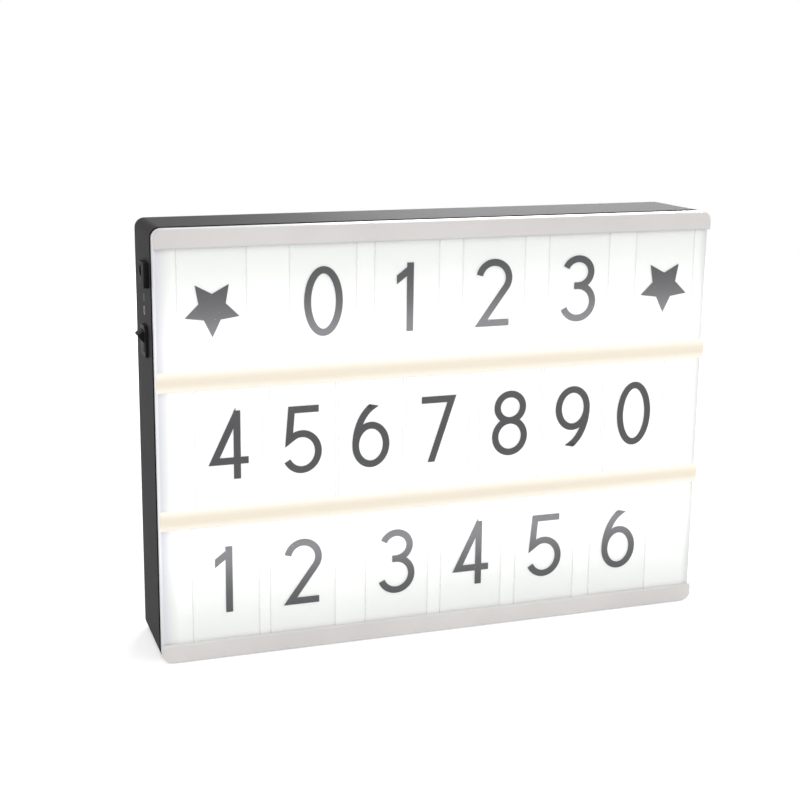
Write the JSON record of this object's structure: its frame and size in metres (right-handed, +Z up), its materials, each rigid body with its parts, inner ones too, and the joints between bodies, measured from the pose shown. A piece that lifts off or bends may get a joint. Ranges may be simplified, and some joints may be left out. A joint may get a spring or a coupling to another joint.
{
  "type": "cinema light box",
  "caption": "Shallow lit box with a white front and card rails that hold loose clear cards, a rocker switch and a power socket on its left side and a battery door behind.",
  "frame": {"origin": "on the flat underside, half way along the width and the depth of the box", "axes": "+X to the right along the front, +Y from the front to the back, +Z up"},
  "size_m": [0.3048, 0.055, 0.22],
  "materials": {
    "black_abs": "satin moulded ABS, charcoal",
    "cover_white": "translucent white acrylic, lit from behind",
    "rail_white": "satin moulded polystyrene, grey-white",
    "rail_cream": "satin moulded polystyrene, cream where light comes through",
    "card_film": "clear film with a dark print",
    "reflector_white": "white polyester sheet",
    "board_white": "white solder mask",
    "lamp_yellow": "phosphor under clear resin, lit",
    "resistor_black": "matte ceramic",
    "screw_zinc": "zinc-plated steel",
    "switch_black": "satin moulded nylon",
    "rocker_black": "polished moulded nylon",
    "terminal_brass": "tinned brass",
    "socket_black": "satin moulded nylon",
    "pin_nickel": "nickel-plated brass",
    "cell_sleeve": null,
    "contact_nickel": "nickel-plated spring steel",
    "wire_red": "PVC insulation, red",
    "wire_black": "PVC insulation, black"
  },
  "bodies": {
    "box": {"rear_housing": "black_abs", "front_cover": "cover_white", "rail_top": "rail_white", "rail_upper": "rail_cream", "rail_lower": "rail_cream", "rail_bottom": "rail_white", "reflector_sheet": "reflector_white", "led_board_upper": "board_white", "led_board_lower": "board_white", "leds": "lamp_yellow", "resistors": "resistor_black", "board_screws": "screw_zinc", "housing_screws": "screw_zinc", "switch_frame": "switch_black", "switch_terminals": "terminal_brass", "socket_body": "socket_black", "socket_pin": "pin_nickel", "socket_nut": "screw_zinc", "socket_lugs": "terminal_brass", "battery_cells": "cell_sleeve", "battery_springs": "contact_nickel", "battery_contacts": "contact_nickel", "wire_switch_to_leds": "wire_red", "wire_socket_to_leds": "wire_black", "wire_socket_to_switch": "wire_red", "wire_battery_positive": "wire_red", "wire_battery_negative": "wire_black", "board_links": "wire_red"},
    "rocker": {"switch_rocker": "rocker_black"},
    "door": {"battery_door": "black_abs"},
    "card_top_1": {"card_top_1": "card_film"},
    "card_top_2": {"card_top_2": "card_film"},
    "card_top_3": {"card_top_3": "card_film"},
    "card_top_4": {"card_top_4": "card_film"},
    "card_top_5": {"card_top_5": "card_film"},
    "card_top_6": {"card_top_6": "card_film"},
    "card_middle_1": {"card_middle_1": "card_film"},
    "card_middle_2": {"card_middle_2": "card_film"},
    "card_middle_3": {"card_middle_3": "card_film"},
    "card_middle_4": {"card_middle_4": "card_film"},
    "card_middle_5": {"card_middle_5": "card_film"},
    "card_middle_6": {"card_middle_6": "card_film"},
    "card_middle_7": {"card_middle_7": "card_film"},
    "card_bottom_1": {"card_bottom_1": "card_film"},
    "card_bottom_2": {"card_bottom_2": "card_film"},
    "card_bottom_3": {"card_bottom_3": "card_film"},
    "card_bottom_4": {"card_bottom_4": "card_film"},
    "card_bottom_5": {"card_bottom_5": "card_film"},
    "card_bottom_6": {"card_bottom_6": "card_film"}
  },
  "joints": [
    {"name": "rocker_tilt", "type": "hinge", "parent": "box", "child": "rocker", "pos_m": [-0.1503, -0.0015, 0.162], "axis": [0, 1, 0], "range_deg": [0, 40]},
    {"name": "door_hinge", "type": "hinge", "parent": "box", "child": "door", "pos_m": [0, 0.0258, 0.1101], "axis": [1, 0, 0], "range_deg": [0, 100]},
    {"name": "card_top_1_slide", "type": "slide", "parent": "box", "child": "card_top_1", "axis": [1, 0, 0], "range_m": [-0.0105, 0.021]},
    {"name": "card_top_2_slide", "type": "slide", "parent": "box", "child": "card_top_2", "axis": [1, 0, 0], "range_m": [0, 0.0088]},
    {"name": "card_top_3_slide", "type": "slide", "parent": "box", "child": "card_top_3", "axis": [1, 0, 0], "range_m": [0, 0.0122]},
    {"name": "card_top_4_slide", "type": "slide", "parent": "box", "child": "card_top_4", "axis": [1, 0, 0], "range_m": [0, 0.0128]},
    {"name": "card_top_5_slide", "type": "slide", "parent": "box", "child": "card_top_5", "axis": [1, 0, 0], "range_m": [0, 0.015]},
    {"name": "card_top_6_slide", "type": "slide", "parent": "box", "child": "card_top_6", "axis": [1, 0, 0], "range_m": [0, 0.0462]},
    {"name": "card_middle_1_slide", "type": "slide", "parent": "box", "child": "card_middle_1", "axis": [1, 0, 0], "range_m": [-0.0178, 0.003]},
    {"name": "card_middle_2_slide", "type": "slide", "parent": "box", "child": "card_middle_2", "axis": [1, 0, 0], "range_m": [0, 0.0008]},
    {"name": "card_middle_3_slide", "type": "slide", "parent": "box", "child": "card_middle_3", "axis": [1, 0, 0], "range_m": [0, 0.0012]},
    {"name": "card_middle_4_slide", "type": "slide", "parent": "box", "child": "card_middle_4", "axis": [1, 0, 0], "range_m": [0, 0.0055]},
    {"name": "card_middle_5_slide", "type": "slide", "parent": "box", "child": "card_middle_5", "axis": [1, 0, 0], "range_m": [0, 0.0011]},
    {"name": "card_middle_6_slide", "type": "slide", "parent": "box", "child": "card_middle_6", "axis": [1, 0, 0], "range_m": [0, 0.0013]},
    {"name": "card_middle_7_slide", "type": "slide", "parent": "box", "child": "card_middle_7", "axis": [1, 0, 0], "range_m": [0, 0.0606]},
    {"name": "card_bottom_1_slide", "type": "slide", "parent": "box", "child": "card_bottom_1", "axis": [1, 0, 0], "range_m": [-0.0154, 0.0052]},
    {"name": "card_bottom_2_slide", "type": "slide", "parent": "box", "child": "card_bottom_2", "axis": [1, 0, 0], "range_m": [0, 0.0158]},
    {"name": "card_bottom_3_slide", "type": "slide", "parent": "box", "child": "card_bottom_3", "axis": [1, 0, 0], "range_m": [0, 0.0067]},
    {"name": "card_bottom_4_slide", "type": "slide", "parent": "box", "child": "card_bottom_4", "axis": [1, 0, 0], "range_m": [0, 0.0077]},
    {"name": "card_bottom_5_slide", "type": "slide", "parent": "box", "child": "card_bottom_5", "axis": [1, 0, 0], "range_m": [0, 0.0092]},
    {"name": "card_bottom_6_slide", "type": "slide", "parent": "box", "child": "card_bottom_6", "axis": [1, 0, 0], "range_m": [0, 0.0665]}
  ]
}
